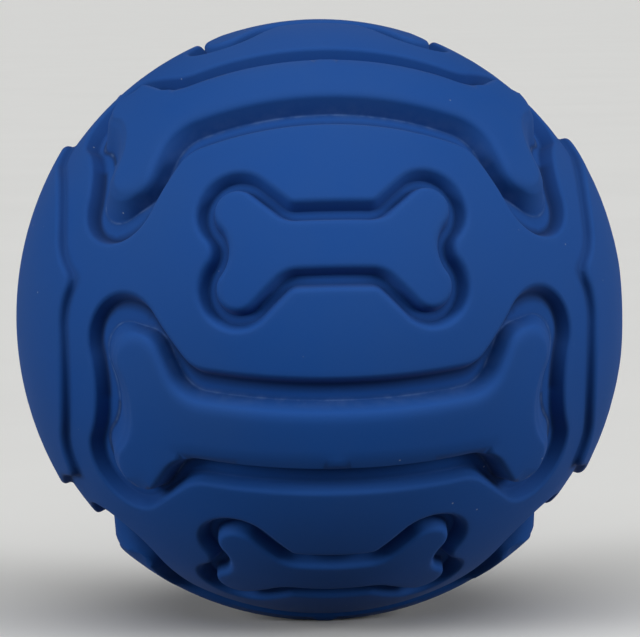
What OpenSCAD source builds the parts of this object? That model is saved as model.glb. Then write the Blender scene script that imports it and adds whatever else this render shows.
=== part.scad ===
// Squeaky rubber dog ball, millimetres, +Z up, origin at the centre of the ball.
// X is the axis of the pattern: five long bones lie along it round the ball, with a short
// bone in each panel between two of them and a plain scalloped cap at each end.
// Sizes of the relief are measured along the surface of the ball.

/* [Ball] */
// Diameter over the tops of the long bones
ball_d = 65; // [60:0.5:80]
// Rubber between the top of a long bone and the air chamber
wall = 6; // [5:0.25:8]
// Height of the long bones above the panels
panel_step = 0.85; // [0.5:0.05:1.2]
// Height of the long bones above the floor of their recess and of the grooves
floor_step = 2.45; // [1.8:0.05:2.9]
// Number of long bones round the ball
bones = 5; // [3:1:5]

/* [Long bones] */
// Width of the shaft
bone_shaft_w = 6; // [4:0.1:8]
// Distance of the knob centres from the middle of the bone
bone_knob_x = 22; // [20:0.1:23]
// Distance of the knob centres from the bone's centre line
bone_knob_y = 5.95; // [5:0.05:6.8]
// Radius of the knobs
bone_knob_r = 2.65; // [2:0.05:3.2]
// Distance of the notch between the knobs from the middle of the bone
bone_notch_x = 22.4; // [22:0.1:24]
// Angle of the flare from shaft to knob
bone_flare = 55; // [45:1:65]
// Fillet radius where shaft and flare meet
bone_fillet = 5; // [2:0.1:7]
// Spread of the bone's wall between its top and the floor
bone_draft = 0.75; // [0.2:0.05:1.4]

/* [Recess round a long bone] */
// Gap between the shaft and the rim of the recess
recess_side = 3.5; // [2.5:0.05:4.2]
// How much larger the recess is than the knobs it goes round
recess_ring = 2.65; // [2:0.05:3.2]
// How far the recess reaches out past the knob centres
recess_lead = 2.6; // [1.5:0.1:3.4]
// How far the recess spreads across past the knob centres
recess_spread = 0.85; // [0.4:0.05:1.2]
// Distance from the bone's notch to the notch in the rim
recess_notch = 5.6; // [4.5:0.1:6.2]
// Angle of the rim's flare
recess_flare = 44; // [38:1:55]
// Fillet radius where the rim's shaft and flare meet
recess_fillet = 4; // [2:0.1:6]
// Slope of the recess wall from the floor to the rim
recess_draft = 0.45; // [0.1:0.05:1.4]

/* [Short bones] */
// Width of the shaft
short_shaft_w = 4.9; // [4:0.1:7]
// Distance of the knob centres from the middle of the bone
short_knob_x = 10.3; // [9:0.1:11.5]
// Distance of the knob centres from the bone's centre line
short_knob_y = 4.15; // [3.5:0.05:4.8]
// Radius of the knobs
short_knob_r = 2.15; // [1.9:0.05:2.9]
// Distance of the notch between the knobs from the middle of the bone
short_notch_x = 10.85; // [10.2:0.05:12]
// Angle of the flare from shaft to knob
short_flare = 42; // [35:1:50]
// Fillet radius where shaft and flare meet
short_fillet = 3.5; // [2.3:0.05:5]
// Spread of the bone's wall between its top and the floor
short_draft = 0.95; // [0.3:0.05:1.1]
// Width of the groove round the bone at the panel
groove_w = 2.25; // [2:0.05:2.4]
// Slope of the groove's outer wall
groove_draft = 0.9; // [0.3:0.05:1.1]

/* [Caps] */
// How far the crown of a cap lies inside the ball's radius
cap_flat = 0.2; // [0.1:0.05:0.6]
// How far the rim of a cap stands out past the ball's radius
cap_lip = 0.1; // [0:0.05:0.3]
// How far the scallops reach out past the recess knobs
cap_lead = 1.6; // [0.8:0.1:2.2]
// How far the scallops spread across past the recess knobs
cap_spread = 1.3; // [0.6:0.1:1.8]
// How much larger the scallops are than the recess knobs
cap_ring = 2.2; // [1.8:0.05:3]
// Distance from the notch in the recess rim to the kink in the cap
cap_notch = 4.2; // [3.4:0.1:5]
// Spread of the cap's wall between the panels and its rim
cap_draft = 0.55; // [0.1:0.05:0.9]

/* [Seam between the halves] */
// Length of the tongue that joins the halves
tongue_l = 2; // [1:0.1:4]
// Thickness of the tongue
tongue_t = 2; // [1.2:0.1:2.6]
// Film of rubber cement in the seam
cement = 0.05; // [0.02:0.01:0.1]

/* [Squeaker] */
// Diameter of the flange outside
flange_d = 13; // [11.5:0.1:16]
// Thickness of the flange
flange_t = 1.4; // [1:0.1:2]
// How far the flange sits below the crown of the cap
flange_sink = 0.75; // [0.5:0.05:1]
// Diameter of the neck in the rubber
neck_d = 10; // [9:0.1:11]
// Thickness of the rubber that the neck passes through
collar_t = 6; // [4:0.1:7]
// Diameter of the rubber boss inside
boss_d = 18; // [15:0.5:24]
// Diameter of the barb that holds the squeaker in
barb_d = 12.4; // [11.4:0.1:13.5]
// Length of the barb
barb_l = 3.5; // [2.5:0.1:5]
// Diameter of the bore that takes the reed
bore_d = 7; // [6.4:0.1:7.6]
// Thickness of the barrel's outer end
end_t = 2.4; // [1.8:0.1:3]
// Diameter of the sound hole
sound_d = 3; // [2:0.1:4]
// Clearance of the squeaker in the rubber and of the reed block in the bore
fit = 0.05; // [0.02:0.01:0.1]

/* [Reed] */
// Thickness of the reed
reed_t = 0.2; // [0.15:0.01:0.3]
// Width of the reed
reed_w = 3.4; // [3:0.1:4.4]
// Free length of the reed, from the lip to its tip
reed_free = 4.2; // [3:0.1:4.6]
// Length of the reed held under the wedge
reed_root = 1; // [0.6:0.1:1.2]
// Clearance above and below the reed
reed_gap = 0.1; // [0.1:0.01:0.14]
// Length of the wedge
wedge_l = 2.8; // [2.2:0.1:3.2]
// Angle at which the anvil falls away under the reed
lay_angle = 5; // [4.5:0.1:8]
// Width of the air channel in the anvil
channel_w = 2.6; // [1.8:0.1:2.8]
// Depth of the air channel
channel_depth = 1.7; // [1:0.1:2.2]
// Space left at each end of the reed block
end_play = 0.3; // [0.1:0.05:0.5]

/* [Hidden] */
$fn = 96;
rubber_blue = [0.11, 0.27, 0.55];
barrel_white = [0.88, 0.88, 0.85];
reed_block_grey = [0.72, 0.73, 0.74];
reed_clear = [0.80, 0.74, 0.55];

// Points along the fillets of a bone's outline
fillet_steps = 3;
// Share of a knob's radius at which the flat walls run into it
knob_entry = 0.96;
// Smallest fillet left on an outline that has grown
fillet_min = 0.1;
// Share of the knobs' distance at which the ends of a prism have their middle
prism_middle = 0.85;
// Overlap of a cut past the surface that it cuts, and of a half past the seam
cut = 1;
// The same for the scallops, which pass through the domes of the caps
scallop_cut = 2;
// Height of a cutter's far end above the ball's surface
clear_h = 5;
// Share of the barb's length that is straight
barb_land = 0.25;
// Share of the reed's free length that has the air channel under it
channel_under = 0.75;

ball_r = ball_d / 2;
panel_r = ball_r - panel_step;
floor_r = ball_r - floor_step;
chamber_r = ball_r - wall;
pitch = 360 / bones;
// A long bone faces straight down, a short bone straight up
long_at = -90;
short_at = long_at + pitch / 2;

// Outline of a bone: shaft half width, knob x, knob y, knob radius, notch x, flare, fillet
long_bone = [
    bone_shaft_w / 2, bone_knob_x, bone_knob_y, bone_knob_r, bone_notch_x, bone_flare, bone_fillet
];
short_bone = [
    short_shaft_w / 2, short_knob_x, short_knob_y, short_knob_r, short_notch_x, short_flare, short_fillet
];
recess = [
    long_bone[0] + recess_side, long_bone[1] + recess_lead, long_bone[2] + recess_spread,
    long_bone[3] + recess_ring, long_bone[4] + recess_notch, recess_flare, recess_fillet
];
scallop = [
    recess[0], recess[1] + cap_lead, recess[2] + cap_spread,
    recess[3] + cap_ring, recess[4] + cap_notch, recess_flare, recess_fillet
];

// Dome of a cap: it passes through the crown and through the rim behind a bone's knobs
crown_x = ball_r - cap_flat;
rim_r = ball_r + cap_lip;
rim_angle = to_angle(scallop[1] + scallop[3]);
dome_x = (rim_r * rim_r - crown_x * crown_x) / (2 * (rim_r * sin(rim_angle) - crown_x));
dome_r = crown_x - dome_x;
// Plane that a cap starts from, inside the ring that the scallops cut away
cap_base = ball_r * sin(to_angle(recess[1]));

// Squeaker, along X from the crown of the right-hand cap inwards
flange_out_x = crown_x - flange_sink;
flange_in_x = flange_out_x - flange_t;
boss_x = flange_in_x - collar_t;
barrel_in_x = boss_x - fit - barb_l;
bore_end_x = flange_out_x - end_t;
block_in_x = barrel_in_x + end_play;
block_out_x = bore_end_x - end_play;
block_d = bore_d - 2 * fit;
lip_x = block_in_x + wedge_l;

// Angle at the centre of the ball under a length on its surface
function to_angle(length) = length / ball_r * 180 / PI;

// Direction of a surface point, u along X and v across, for a bone that faces the front
function direction(p) =
    let (u = to_angle(p[0]), v = to_angle(p[1]))
    [cos(v) * sin(u), -cos(v) * cos(u), sin(v)];

// The same outline, larger by o all round
function grown(b, o) = [b[0] + o, b[1], b[2], b[3] + o, b[4] + o, b[5], max(b[6] - o, fillet_min)];

// Centre of the notch's arc, which touches both knobs
function notch_centre(b) =
    let (back = b[3] - b[4])
    (b[1] * b[1] + b[2] * b[2] - back * back) / (2 * (b[1] + back));

function on_circle(centre, r, a) = centre + r * [cos(a), sin(a)];

// Place along the bone where the straight shaft ends and its fillet begins
function fillet_start(b) =
    let (flare_end = on_circle([b[1], b[2]], b[3] * knob_entry, 90 + b[5]))
    flare_end[0] - (flare_end[1] - b[0]) / tan(b[5]) - b[6] * tan(b[5] / 2);

// Upper edge of the web that joins the shaft to a knob, from inside the shaft to the notch
function web_side(b) =
    let (knob = [b[1], b[2]], entry = b[3] * knob_entry, start = fillet_start(b))
    let (notch_from = atan2(-b[2], notch_centre(b) - b[1]))
    concat(
        [[start - cut, b[0] - cut / 2]],
        [
            for (i = [1 : fillet_steps])
            on_circle([start, b[0] + b[6]], b[6], -90 + b[5] * i / fillet_steps)
        ],
        [on_circle(knob, entry, 90 + b[5]), knob, on_circle(knob, entry, notch_from)],
        [on_circle([notch_centre(b), 0], notch_centre(b) - b[4], 180 + notch_from / 2), [b[4], 0]]
    );

function both_sides(side) = concat(side, [for (i = [len(side) - 2 : -1 : 0]) [side[i][0], -side[i][1]]]);

// Solid through two rings of points, the inner one first, with a point in the middle of each end
module ring_loft(inner, outer, low, high) {
    n = len(inner);
    sides = [
        for (i = [0 : n - 1])
        let (k = (i + 1) % n)
        each [[n + i, i, k], [n + i, k, n + k]]
    ];
    low_end = [for (i = [0 : n - 1]) [2 * n, (i + 1) % n, i]];
    high_end = [for (i = [0 : n - 1]) [2 * n + 1, n + i, n + (i + 1) % n]];
    polyhedron(concat(inner, outer, [low, high]), concat(sides, low_end, high_end));
}

// Round knob that widens from one row of [radius, growth] to the next
module knob(b, rows, side) {
    low = to_angle(b[3] + rows[0][1]);
    high = to_angle(b[3] + rows[1][1]);
    from = rows[0][0] * cos(low);
    axis = direction([b[1], b[2] * side]);
    rotate([0, acos(axis[2]), atan2(axis[1], axis[0])])
    translate([0, 0, from])
    cylinder(h = rows[1][0] * cos(high) - from, r1 = rows[0][0] * sin(low), r2 = rows[1][0] * sin(high));
}

// Straight shaft, curved round the ball from past the seam to its fillet
module shaft(b, rows) {
    reach = fillet_start(b) + b[6] * sin(b[5] / fillet_steps) / 2;
    edge = [for (row = rows) let (v = to_angle(b[0] + row[1])) row[0] * [cos(v), sin(v)]];
    rotate(-90 - to_angle(cut))
    rotate_extrude(angle = to_angle(cut + reach))
    polygon([edge[0], edge[1], [edge[1][0], -edge[1][1]], [edge[0][0], -edge[0][1]]]);
}

// Prism with the outline of the right half of a bone, standing on the ball
module bone_prism(b, rows) {
    rings = [for (row = rows) [for (p = both_sides(web_side(grown(b, row[1])))) row[0] * direction(p)]];
    middle = direction([b[1] * prism_middle, 0]);
    ring_loft(rings[0], rings[1], rows[0][0] * middle, (rows[1][0] + clear_h) * middle);
    shaft(b, rows);
    knob(b, rows, 1);
    knob(b, rows, -1);
}

// Rows of a wall that is at growth on radius r and changes by draft for each floor depth
function wall_rows(r, growth, draft, over = cut) =
    let (slope = draft / (r - floor_r))
    [[floor_r - cut, growth - draft - cut * slope], [r + over, growth + over * slope]];

module round_the_ball(start) {
    for (i = [0 : bones - 1]) rotate([-start - pitch * i, 0, 0]) children();
}

module bone_recess() {
    bone_prism(recess, wall_rows(panel_r, 0, recess_draft));
}

module short_groove() {
    difference() {
        bone_prism(short_bone, wall_rows(panel_r, groove_w, groove_draft));
        bone_prism(short_bone, wall_rows(panel_r, 0, -short_draft));
    }
}

module raised_bone() {
    intersection() {
        bone_prism(long_bone, wall_rows(ball_r, 0, -bone_draft));
        sphere(ball_r);
    }
}

// Cap on the right-hand end, scalloped round the ends of the recesses
module end_cap() {
    difference() {
        translate([dome_x, 0, 0]) sphere(dome_r);
        translate([cap_base - 2 * ball_d, -ball_d, -ball_d]) cube(2 * ball_d);
        round_the_ball(long_at) bone_prism(scallop, wall_rows(rim_r, cap_draft, cap_draft, scallop_cut));
    }
}

// The right half of the ball without its hollow
module relief() {
    sphere(floor_r);
    difference() {
        sphere(panel_r);
        round_the_ball(long_at) bone_recess();
        round_the_ball(short_at) short_groove();
    }
    round_the_ball(long_at) raised_bone();
    end_cap();
}

module right_side() {
    translate([0, -ball_d, -ball_d]) cube(2 * ball_d);
}

module half_shell() {
    difference() {
        intersection() {
            relief();
            right_side();
        }
        sphere(chamber_r);
    }
}

module along_x(from) {
    translate([from, 0, 0]) rotate([0, 90, 0]) children();
}

module shell_right() {
    color(rubber_blue)
    difference() {
        union() {
            half_shell();
            difference() {
                along_x(-tongue_l) cylinder(r = chamber_r + tongue_t, h = tongue_l + cut);
                sphere(chamber_r);
            }
            along_x(boss_x) cylinder(d = boss_d, h = flange_in_x - boss_x);
        }
        along_x(boss_x - cut) cylinder(d = neck_d + 2 * fit, h = flange_in_x - boss_x + 2 * cut);
        along_x(flange_in_x - fit) cylinder(d = flange_d + 2 * fit, h = clear_h);
    }
}

module shell_left() {
    color(rubber_blue)
    difference() {
        mirror([1, 0, 0]) half_shell();
        along_x(-tongue_l - cement)
        cylinder(r = chamber_r + tongue_t + cement, h = tongue_l + cement + cut);
    }
}

module squeaker_barrel() {
    color(barrel_white)
    along_x(0) rotate_extrude() polygon([
        [bore_d / 2, barrel_in_x], [neck_d / 2, barrel_in_x],
        [barb_d / 2, boss_x - fit - barb_l * barb_land], [barb_d / 2, boss_x - fit],
        [neck_d / 2, boss_x - fit], [neck_d / 2, flange_in_x],
        [flange_d / 2, flange_in_x], [flange_d / 2, flange_out_x], [sound_d / 2, flange_out_x],
        [sound_d / 2, bore_end_x], [bore_d / 2, bore_end_x]
    ]);
}

// Half of the reed block that lies below z = 0, or above it
module half_block(from, length, side) {
    intersection() {
        along_x(from) cylinder(d = block_d, h = length);
        translate([from - cut, -bore_d, side < 0 ? -bore_d : 0])
        cube([length + 2 * cut, 2 * bore_d, bore_d]);
    }
}

module reed_anvil() {
    color(reed_block_grey)
    difference() {
        half_block(block_in_x, block_out_x - block_in_x, -1);
        translate([lip_x, -bore_d, 0]) rotate([0, lay_angle, 0]) cube([bore_d * 2, 2 * bore_d, bore_d]);
        translate([block_in_x - cut, -channel_w / 2, -channel_depth])
        cube([lip_x + reed_free * channel_under - block_in_x + cut, channel_w, channel_depth + cut]);
    }
}

module reed_wedge() {
    pocket_h = reed_t + 2 * reed_gap;
    color(reed_block_grey)
    difference() {
        half_block(block_in_x, wedge_l, 1);
        translate([block_in_x - cut, -bore_d, -cut]) cube([wedge_l + 2 * cut, 2 * bore_d, cut + fit]);
        translate([lip_x - reed_root - reed_gap, -reed_w / 2 - reed_gap, -cut])
        cube([reed_root + reed_gap + cut, reed_w + 2 * reed_gap, pocket_h + cut]);
    }
}

module reed() {
    color(reed_clear)
    translate([lip_x - reed_root, -reed_w / 2, reed_gap]) cube([reed_root + reed_free, reed_w, reed_t]);
}

shell_right();
shell_left();
squeaker_barrel();
reed_anvil();
reed_wedge();
reed();
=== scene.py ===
"""Looks of the squeaky rubber dog ball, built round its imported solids, in metres.

X is the axis of the pattern. A tenth of one half's surface is meshed along the outlines of the
relief, once with long bones that face the pull of the mould and once with ones that face away from
it. Copies of both, turned and mirrored round the axis, make the outside of each half.
"""

import math

import bmesh
import bpy
import numpy as np
from bpy.props import FloatProperty, FloatVectorProperty, IntProperty, PointerProperty
from mathutils import Matrix, Vector
from mathutils.geometry import delaunay_2d_cdt
from mathutils.kdtree import KDTree


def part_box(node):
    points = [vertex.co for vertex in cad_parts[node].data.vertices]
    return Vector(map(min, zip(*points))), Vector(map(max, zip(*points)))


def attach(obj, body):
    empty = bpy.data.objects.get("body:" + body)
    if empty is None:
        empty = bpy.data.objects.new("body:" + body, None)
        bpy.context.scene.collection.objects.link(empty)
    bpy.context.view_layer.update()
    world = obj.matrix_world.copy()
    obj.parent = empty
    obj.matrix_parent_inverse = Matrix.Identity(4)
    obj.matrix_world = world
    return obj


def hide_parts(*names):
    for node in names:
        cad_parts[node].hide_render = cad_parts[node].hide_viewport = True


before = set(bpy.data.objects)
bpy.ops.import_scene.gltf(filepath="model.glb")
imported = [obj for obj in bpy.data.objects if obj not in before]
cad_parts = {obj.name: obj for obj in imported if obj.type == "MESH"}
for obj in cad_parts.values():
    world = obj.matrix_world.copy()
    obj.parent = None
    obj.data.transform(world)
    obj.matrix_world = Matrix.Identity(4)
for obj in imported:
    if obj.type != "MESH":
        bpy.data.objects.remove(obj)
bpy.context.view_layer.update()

bl_info = {
    "name": "Squeaky rubber dog ball",
    "version": (1, 0, 0),
    "blender": (4, 5, 0),
    "location": "3D View > Sidebar > Dog ball",
    "description": "Moulded rubber ball with bone relief, scalloped caps and a push-in squeaker",
    "category": "Object",
}

MM = 0.001
BALL_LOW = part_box("shell_right")[0]


def linear(hex_colour):
    """An sRGB hex colour as linear red, green, blue and full alpha."""
    channels = [int(hex_colour[i : i + 2], 16) / 255 for i in (1, 3, 5)]
    return (*(c / 12.92 if c <= 0.04045 else ((c + 0.055) / 1.055) ** 2.4 for c in channels), 1.0)


def size(name, millimetres, description):
    """A length property, written in millimetres and kept in metres."""
    return FloatProperty(
        name=name, description=description, default=millimetres * MM, precision=5,
        subtype="DISTANCE", unit="LENGTH",
    )


def angle(name, degrees, description):
    """An angle property, written in degrees and kept in radians."""
    return FloatProperty(
        name=name, description=description, default=math.radians(degrees),
        subtype="ANGLE", unit="ROTATION",
    )


def share(name, value, description):
    """A plain factor property."""
    return FloatProperty(name=name, description=description, default=value, min=0.0, subtype="FACTOR")


def colour(name, hex_colour, description):
    """A colour property, written in sRGB hex and kept linear."""
    return FloatVectorProperty(
        name=name, description=description, default=linear(hex_colour), size=4,
        min=0.0, max=1.0, subtype="COLOR",
    )


class BallSizes(bpy.types.PropertyGroup):
    """Levels of the ball's surface"""

    radius: size("Radius", round(-BALL_LOW.z / MM, 2), "Radius over the tops of the long bones")
    wall: size("Wall", 6, "Rubber between the top of a long bone and the air chamber")
    panel_step: size("Panel step", 0.85, "Height of the long bones above the panels")
    floor_step: size("Floor step", 2.45, "Height of the long bones above the recess floor")
    bones: IntProperty(name="Bones", description="Number of long bones", default=5, min=3, max=5)


class LongBoneSizes(bpy.types.PropertyGroup):
    """Raised bones that lie along the axis"""

    shaft_w: size("Shaft width", 6, "Width of the shaft")
    knob_x: size("Knob along", 22, "Distance of the knobs from the middle")
    knob_y: size("Knob across", 5.95, "Distance of the knobs from the centre line")
    knob_r: size("Knob radius", 2.65, "Radius of the knobs")
    notch_x: size("Notch", 22.4, "Distance of the notch from the middle")
    flare: angle("Flare", 55, "Angle from shaft to knob")
    fillet: size("Fillet", 5, "Fillet where shaft and flare meet")
    draft: size("Draft", 0.75, "Spread of the wall from its top to the floor")
    end_lean: size("End lean", 2.4, "How far the foot of the knobs and the notch leans out past their tops")
    top_round: size("Top rounding", 0.9, "Rounding of the top edge")
    foot_round: size("Foot rounding", 0.25, "Rounding where the wall meets the floor")
    front_rim: share("Front rounding", 1.7, "Widening of the top edge on walls that face the mould's pull")
    front_wall: share("Front draft", 0.95, "Widening of the draft on walls that face the mould's pull")
    away_rim: share("Away rounding", 0.35, "Widening of the top edge on walls that face away from it")
    away_wall: share("Away draft", 1.25, "Widening of the draft on walls that face away from it")


class RecessSizes(bpy.types.PropertyGroup):
    """Sunk band round a long bone"""

    side: size("Side", 3.5, "Gap between the shaft and the rim")
    ring: size("Ring", 2.65, "How much larger the recess is than the knobs")
    lead: size("Lead", 2.6, "How far it reaches out past the knobs")
    spread: size("Spread", 1.2, "How far it spreads across past the knobs")
    notch: size("Notch", 5.6, "Distance from the bone's notch to the rim's notch")
    flare: angle("Flare", 40, "Angle of the rim's flare")
    fillet: size("Fillet", 4, "Fillet of the rim")
    draft: size("Draft", 0.45, "Slope of the wall from the floor to the rim")
    rim_round: size("Rim rounding", 0.5, "Rounding of the rim")
    foot_round: size("Foot rounding", 0.3, "Rounding where the wall meets the floor")
    away_wall: share("Away draft", 1.8, "Widening of the draft on walls that face away from the mould's pull")


class ShortBoneSizes(bpy.types.PropertyGroup):
    """Bones level with the panels, each in a groove of its own outline"""

    shaft_w: size("Shaft width", 4.9, "Width of the shaft")
    knob_x: size("Knob along", 10.3, "Distance of the knobs from the middle")
    knob_y: size("Knob across", 4.15, "Distance of the knobs from the centre line")
    knob_r: size("Knob radius", 2.15, "Radius of the knobs")
    notch_x: size("Notch", 10.85, "Distance of the notch from the middle")
    flare: angle("Flare", 42, "Angle from shaft to knob")
    fillet: size("Fillet", 3.5, "Fillet where shaft and flare meet")
    draft: size("Draft", 0.6, "Spread of the wall from its top to the floor")
    groove_w: size("Groove width", 2.25, "Width of the groove at the panel")
    groove_draft: size("Groove draft", 0.65, "Slope of the groove's outer wall")
    groove_depth: size("Groove depth", 1.55, "Depth of the groove below the panel")
    top_round: size("Top rounding", 0.65, "Rounding of the bone's top edge and the groove's rim")
    foot_round: size("Foot rounding", 0.15, "Rounding where the walls meet the floor")


class CapSizes(bpy.types.PropertyGroup):
    """Plain scalloped caps at the ends of the axis"""

    flat: size("Flat", 0.2, "How far the crown lies inside the ball's radius")
    lip: size("Lip", 0.1, "How far the rim stands out past the ball's radius")
    lead: size("Lead", 1.6, "How far the scallops reach out past the recess knobs")
    spread: size("Spread", 1.3, "How far the scallops spread across past the recess knobs")
    ring: size("Ring", 2.2, "How much larger the scallops are than the recess knobs")
    notch: size("Notch", 4.2, "Distance from the rim's notch to the kink in the cap")
    draft: size("Draft", 0.55, "Spread of the wall between the floor and the rim")
    rim_round: size("Rim rounding", 0.6, "Rounding of the rim")
    foot_round: size("Foot rounding", 0.4, "Rounding where the wall meets the panels")
    kink_round: size("Kink rounding", 2, "Reach of the rounding where two scallops meet")


class SeamSizes(bpy.types.PropertyGroup):
    """Tongue and rebate that join the halves"""

    tongue_l: size("Tongue length", 2, "Length of the tongue")
    tongue_t: size("Tongue thickness", 2, "Thickness of the tongue")
    cement: size("Cement", 0.05, "Film of rubber cement in the seam")


class SqueakerSizes(bpy.types.PropertyGroup):
    """Push-in squeaker and the collar that holds it"""

    flange_d: size("Flange", 13, "Diameter of the flange outside")
    flange_t: size("Flange thickness", 1.4, "Thickness of the flange")
    flange_sink: size("Flange sink", 0.75, "How far the flange sits below the crown of the cap")
    neck_d: size("Neck", 10, "Diameter of the neck in the rubber")
    collar_t: size("Collar", 6, "Thickness of the rubber that the neck passes through")
    boss_d: size("Boss", 18, "Diameter of the rubber boss inside")
    barb_d: size("Barb", 12.4, "Diameter of the barb")
    barb_l: size("Barb length", 3.5, "Length of the barb")
    barb_land: share("Barb land", 0.25, "Share of the barb's length that is straight")
    bore_d: size("Bore", 7, "Diameter of the bore that takes the reed")
    end_t: size("End", 2.4, "Thickness of the barrel's outer end")
    sound_d: size("Sound hole", 3, "Diameter of the sound hole")
    fit: size("Fit", 0.05, "Clearance of the barrel in the rubber")
    edge_round: size("Edge rounding", 0.22, "Rounding of the barrel's moulded edges")
    rim_round: size("Rim rounding", 0.35, "Rounding of the rubber rim round the flange")


class Finishes(bpy.types.PropertyGroup):
    """Colours of the ball's materials"""

    rubber: colour("Rubber", "#134A95", "Blue of the rubber")
    # Bloom colour, also used for the painted highlight on rounded top edges
    rubber_bloom_and_highlight: colour("Bloom and rim highlight", "#37588F", "Paler blue where a dry bloom lies on the rubber, also painted as a highlight on rounded top edges")
    # Painted shade at the foot of the walls
    rubber_painted_shade: colour("Painted shade", "#07193D", "Darker blue painted as shade at the foot of the walls")
    # Painted highlight along the foot of each long bone
    crease_highlight: colour("Crease highlight", "#6F8FC4", "Pale painted highlight along the foot of a long bone")
    dust: colour("Dust", "#A9B4C4", "Dust and lint caught on the rubber")
    barrel: colour("Barrel", "#E6E5DE", "Natural white of the barrel")
    reed_block: colour("Reed block", "#B9BBBC", "Grey of the reed block")
    reed_film: colour("Reed film", "#CFC08E", "Straw tint of the reed film")


class StageSettings(bpy.types.PropertyGroup):
    """Floor, lights and camera"""

    floor: colour("Floor", "#F4F4F2", "Pale matt floor")
    backdrop: colour("Backdrop", "#E4E4E2", "Pale backdrop behind the floor's far edge")
    azimuth: angle("Azimuth", -3, "Camera's turn round the vertical")
    elevation: angle("Elevation", 4.8, "Camera's height as an angle")
    roll: angle("Roll", 0.8, "Camera's roll")
    distance: size("Distance", 422.5, "Camera's distance from the centre of the ball")
    top_level: share("Top", 0.55, "Light of the overhead softbox on a white card that faces it")
    top_elevation: angle("Top elevation", 64, "Height of the overhead softbox as an angle")
    top_spread: angle("Top spread", 75, "Angle across the overhead softbox as the ball sees it")
    side_level: share("Side", 0.47, "Light of each side softbox on a white card that faces it")
    side_elevation: angle("Side elevation", 16, "Height of the side softboxes as an angle")
    side_azimuth: angle("Side azimuth", 65, "Turn of the side softboxes from the front, either way")
    side_spread: angle("Side spread", 25, "Angle across a side softbox as the ball sees it")
    ambient: share("Ambient", 0.03, "Light from all round on a white card")
    bounce: share("Bounce", 0.12, "Share of the light on the floor that comes back to the ball")


class DogBallSettings(bpy.types.PropertyGroup):
    """Everything that can be changed on the ball"""

    ball: PointerProperty(type=BallSizes)
    long_bone: PointerProperty(type=LongBoneSizes)
    recess: PointerProperty(type=RecessSizes)
    short_bone: PointerProperty(type=ShortBoneSizes)
    cap: PointerProperty(type=CapSizes)
    seam: PointerProperty(type=SeamSizes)
    squeaker: PointerProperty(type=SqueakerSizes)
    finishes: PointerProperty(type=Finishes)
    stage: PointerProperty(type=StageSettings)


# Meshing of the relief: spacing along an outline, over plain areas and along the sector's borders,
# as lengths on the ball, rows on the plain ground beside a wall and beside the seam, where they keep
# the shading flush, and how clear of other points the plain areas' points stay, as a share of their spacing
ALONG_OUTLINE = 0.4 * MM
OVER_PLAIN = 0.95 * MM
ALONG_BORDER = 0.65 * MM
PLAIN_ROW = 0.45 * MM
SEAM_ROW = 0.08 * MM
GRID_CLEAR = 0.6
# Radius round the axis at which the relief ends and the plain crown of a cap begins
CROWN_R = 7.4 * MM
# Steps round the crown of a sector, along a rounding, down the left crown, along the rim round the
# flange, along the inside of each half, round the barrel and round its moulded edges
CROWN_STEPS = 8
ROUNDING_STEPS = 5
LEFT_CROWN_STEPS = 8
FLANGE_RIM_STEPS = 6
RIGHT_INSIDE_STEPS = 40
LEFT_INSIDE_STEPS = 44
BARREL_STEPS = 96
EDGE_STEPS = 4
# Longest part of a side of the barrel's profile that the rounding of one corner takes up
CORNER_SHARE = 0.4
# Panel that faces the pull of the mould, counted round the ball; on the panels beside it the walls of
# the long bones face away from the pull
FRONT_PANEL = 3
# Reach of the painted highlight on a rim, as a share of the rounding's width
RIM_REACH = 1.3
# Painted shade, a darker rubber at the foot of a wall: its share on walls that face away from the pull of the
# mould, on those that face it and on small walls, its reach, and the reach of the painted highlight in a long
# bone's crease
AWAY_SHADE = 0.75
FRONT_SHADE = 0.25
SHORT_SHADE = 0.36
FOOT_REACH = 0.5 * MM
CREASE_W = 0.16 * MM
# Steps in which the rows of a wall settle on its level, and how near it a settled point lies
SETTLE_STEPS = 40
SETTLED = 0.01 * MM
# Steps in which a place on a leaning wall is found, and how far out it is looked for, in drafts
LEAN_STEPS = 18
LEAN_REACH = 4
# Points this close are one, in a mesh and on the flat sector, and edges bent further than this are sharp
WELD = 0.004 * MM
CHART_WELD = 2e-6
SHARP = math.radians(38)
# Numerical slack on a line of the flat sector, on its border, at its corners and at the seam, and the
# decimals to which places along the border are rounded
ON_LINE = 1e-9
ON_BORDER = 1e-8
AT_CORNER = 1e-7
AT_SEAM = 1e-6
DECIMALS = 9
# The photograph in pixels: its size, and the radius and the centre of the ball in it
IMAGE_WIDTH = 640
IMAGE_HEIGHT = 637
BALL_PIXELS = 305.3
BALL_COLUMN = 319.7
BALL_ROW = 316.3
# Camera sensor in millimetres, its nearest sight, and the floor, wide enough to reach the horizon
SENSOR_WIDTH = 36.0
NEAREST_SIGHT = 10 * MM
FLOOR_R = 40.0
FLOOR_SIDES = 96


def on_circle(angles):
    """Points on a circle of radius 1 at angles."""
    return np.column_stack((np.cos(angles), np.sin(angles)))


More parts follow.
